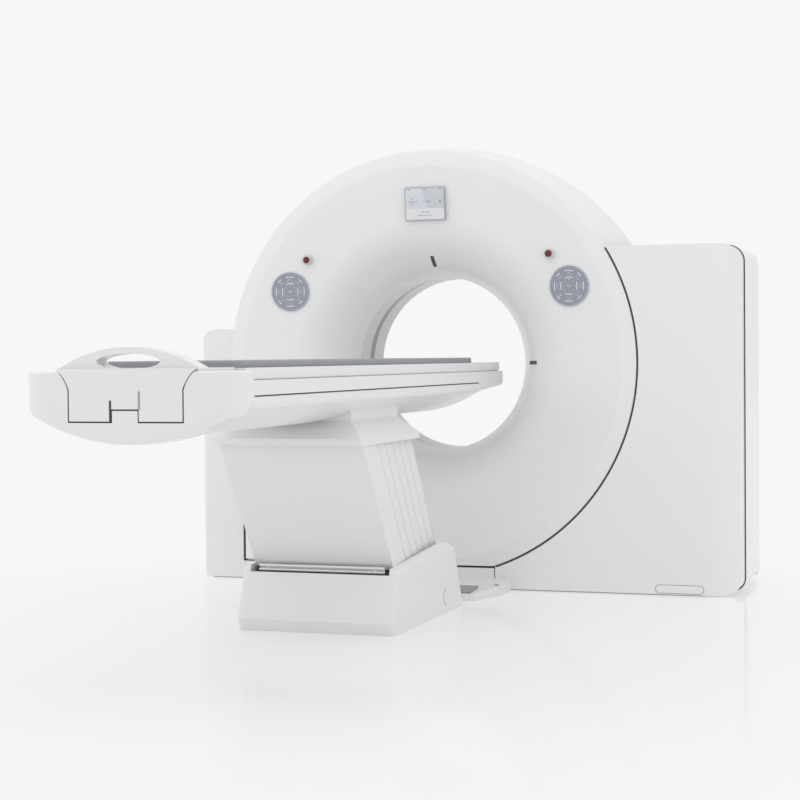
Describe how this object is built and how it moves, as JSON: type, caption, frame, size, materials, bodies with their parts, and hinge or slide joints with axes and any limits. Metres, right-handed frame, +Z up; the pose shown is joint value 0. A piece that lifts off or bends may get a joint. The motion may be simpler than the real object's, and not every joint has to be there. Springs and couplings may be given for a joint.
{
  "type": "computed tomography scanner",
  "caption": "Computed tomography scanner: ring gantry that tilts between two stands, and a patient table whose long top slides into the bore on a parallelogram lift.",
  "frame": {"origin": "on the floor, straight under the centre of the bore", "axes": "+X to the right as the foot end is faced, +Y from the foot end of the table through the bore, +Z up"},
  "size_m": [2.232, 3.245, 1.758],
  "materials": {
    "cover_plastic": "smooth moulded covers with a soft gloss",
    "table_shell": "smooth laminate table top",
    "pad_vinyl": "matt vinyl over foam",
    "keypad_film": "blue-grey membrane film",
    "display_glass": "dark display behind a clear film",
    "dark_window": "dark see-through film",
    "stop_red": "moulded",
    "collar_grey": "moulded",
    "frame_paint": "powder coat",
    "bare_steel": "ground",
    "silver_trim": "satin anodised",
    "pedal_grey": "ribbed grip",
    "shoe_plastic": "moulded"
  },
  "bodies": {
    "installation": {"floor_frame": "frame_paint", "left_pylon": "frame_paint", "right_pylon": "frame_paint", "tilt_bearings": "bare_steel", "right_stand_front_cover": "cover_plastic", "right_stand_rear_cover": "cover_plastic", "left_stand_front_cover": "cover_plastic", "left_stand_rear_cover": "cover_plastic", "front_corner_cover": "cover_plastic", "rear_corner_cover": "cover_plastic", "plinth_covers": "cover_plastic", "base_frame": "frame_paint", "base_cheeks": "cover_plastic", "base_front_cover": "cover_plastic", "base_rear_cover": "cover_plastic", "base_shafts": "bare_steel", "pedal_housing": "shoe_plastic"},
    "gantry_ring": {"ring_front_cover": "cover_plastic", "ring_rear_cover": "cover_plastic", "left_keypad": "keypad_film", "right_keypad": "keypad_film", "stop_collars": "collar_grey", "display_panel": "display_glass", "laser_windows": "dark_window", "bore_liner_front": "cover_plastic", "bore_liner_rear": "cover_plastic", "scan_window": "dark_window", "tilt_frame": "frame_paint", "outer_race": "bare_steel"},
    "rotor": {"inner_race": "bare_steel", "rotor_drum": "frame_paint", "xray_tube": "bare_steel", "detector_arc": "frame_paint", "tube_cooler": "frame_paint", "tube_generator": "frame_paint", "balance_weight": "frame_paint", "slip_ring": "bare_steel"},
    "left_stop": {"left_stop_button": "stop_red"},
    "right_stop": {"right_stop_button": "stop_red"},
    "front_arm": {"lift_arm_front": "frame_paint"},
    "carriage": {"table_carriage": "cover_plastic", "foot_end_cap": "cover_plastic", "head_brackets": "frame_paint", "lift_head_cover": "cover_plastic", "head_shafts": "bare_steel"},
    "rear_arm": {"lift_arm_rear": "frame_paint"},
    "front_panel": {"lift_front_panel": "cover_plastic", "trim_rails": "silver_trim"},
    "rear_panel": {"lift_rear_panel": "cover_plastic"},
    "tabletop": {"end_grip": "cover_plastic", "table_board": "table_shell", "table_pad": "pad_vinyl"},
    "left_pedal_lever": {"left_pedal": "pedal_grey"},
    "right_pedal_lever": {"right_pedal": "pedal_grey"},
    "leaf_1": {"bellows_leaf_1": "cover_plastic"},
    "leaf_2": {"bellows_leaf_2": "cover_plastic"},
    "leaf_3": {"bellows_leaf_3": "cover_plastic"},
    "leaf_4": {"bellows_leaf_4": "cover_plastic"},
    "leaf_5": {"bellows_leaf_5": "cover_plastic"},
    "leaf_6": {"bellows_leaf_6": "cover_plastic"}
  },
  "joints": [
    {"name": "gantry_tilt", "type": "hinge", "parent": "installation", "child": "gantry_ring", "pos_m": [0, 0, 0.885], "axis": [-1, 0, 0], "range_deg": [-30, 30]},
    {"name": "rotor_spin", "type": "hinge", "parent": "gantry_ring", "child": "rotor", "pos_m": [0, 0, 0.885], "axis": [0, 1, 0], "continuous": true},
    {"name": "left_stop_press", "type": "slide", "parent": "gantry_ring", "child": "left_stop", "axis": [0, 1, 0], "range_m": [0, 0.004], "stiffness_N_per_m": 1500, "springref_m": -0.002},
    {"name": "right_stop_press", "type": "slide", "parent": "gantry_ring", "child": "right_stop", "axis": [0, 1, 0], "range_m": [0, 0.004], "stiffness_N_per_m": 1500, "springref_m": -0.002},
    {"name": "table_lift", "type": "hinge", "parent": "installation", "child": "front_arm", "pos_m": [0, -1.27, 0.198], "axis": [-1, 0, 0], "range_deg": [-40, 0]},
    {"name": "head_level", "type": "hinge", "parent": "front_arm", "child": "carriage", "pos_m": [0, -1.55127, 0.61501], "axis": [-1, 0, 0], "range_deg": [0, 40]},
    {"name": "rear_arm_swing", "type": "hinge", "parent": "installation", "child": "rear_arm", "pos_m": [0, -1.03, 0.198], "axis": [-1, 0, 0], "range_deg": [-40, 0]},
    {"name": "front_panel_swing", "type": "hinge", "parent": "installation", "child": "front_panel", "pos_m": [0, -1.42825, 0.222], "axis": [-1, 0, 0], "range_deg": [-40, 0]},
    {"name": "rear_panel_swing", "type": "hinge", "parent": "installation", "child": "rear_panel", "pos_m": [0, -0.95606, 0.222], "axis": [-1, 0, 0], "range_deg": [-40, 0]},
    {"name": "leaf_1_swing", "type": "hinge", "parent": "installation", "child": "leaf_1", "pos_m": [0, -1.35016, 0.222], "axis": [-1, 0, 0], "range_deg": [-40, 0]},
    {"name": "leaf_2_swing", "type": "hinge", "parent": "installation", "child": "leaf_2", "pos_m": [0, -1.27206, 0.222], "axis": [-1, 0, 0], "range_deg": [-40, 0]},
    {"name": "leaf_3_swing", "type": "hinge", "parent": "installation", "child": "leaf_3", "pos_m": [0, -1.19397, 0.222], "axis": [-1, 0, 0], "range_deg": [-40, 0]},
    {"name": "leaf_4_swing", "type": "hinge", "parent": "installation", "child": "leaf_4", "pos_m": [0, -1.11587, 0.222], "axis": [-1, 0, 0], "range_deg": [-40, 0]},
    {"name": "leaf_5_swing", "type": "hinge", "parent": "installation", "child": "leaf_5", "pos_m": [0, -1.03778, 0.222], "axis": [-1, 0, 0], "range_deg": [-40, 0]},
    {"name": "leaf_6_swing", "type": "hinge", "parent": "installation", "child": "leaf_6", "pos_m": [0, -0.95968, 0.222], "axis": [-1, 0, 0], "range_deg": [-40, 0]},
    {"name": "tabletop_slide", "type": "slide", "parent": "carriage", "child": "tabletop", "axis": [0, 1, 0], "range_m": [0, 1.5]},
    {"name": "left_pedal_press", "type": "hinge", "parent": "installation", "child": "left_pedal_lever", "pos_m": [0, -0.572, 0.033], "axis": [1, 0, 0], "range_deg": [0, 5], "stiffness_Nm_per_rad": 40, "springref_deg": -8.59},
    {"name": "right_pedal_press", "type": "hinge", "parent": "installation", "child": "right_pedal_lever", "pos_m": [0, -0.572, 0.033], "axis": [1, 0, 0], "range_deg": [0, 5], "stiffness_Nm_per_rad": 40, "springref_deg": -8.59}
  ],
  "couplings": [
    {"joint": "head_level", "follows": "table_lift", "ratio": -1},
    {"joint": "rear_arm_swing", "follows": "table_lift", "ratio": 1},
    {"joint": "front_panel_swing", "follows": "table_lift", "ratio": 1},
    {"joint": "rear_panel_swing", "follows": "table_lift", "ratio": 1},
    {"joint": "leaf_1_swing", "follows": "table_lift", "ratio": 1},
    {"joint": "leaf_2_swing", "follows": "table_lift", "ratio": 1},
    {"joint": "leaf_3_swing", "follows": "table_lift", "ratio": 1},
    {"joint": "leaf_4_swing", "follows": "table_lift", "ratio": 1},
    {"joint": "leaf_5_swing", "follows": "table_lift", "ratio": 1},
    {"joint": "leaf_6_swing", "follows": "table_lift", "ratio": 1}
  ]
}
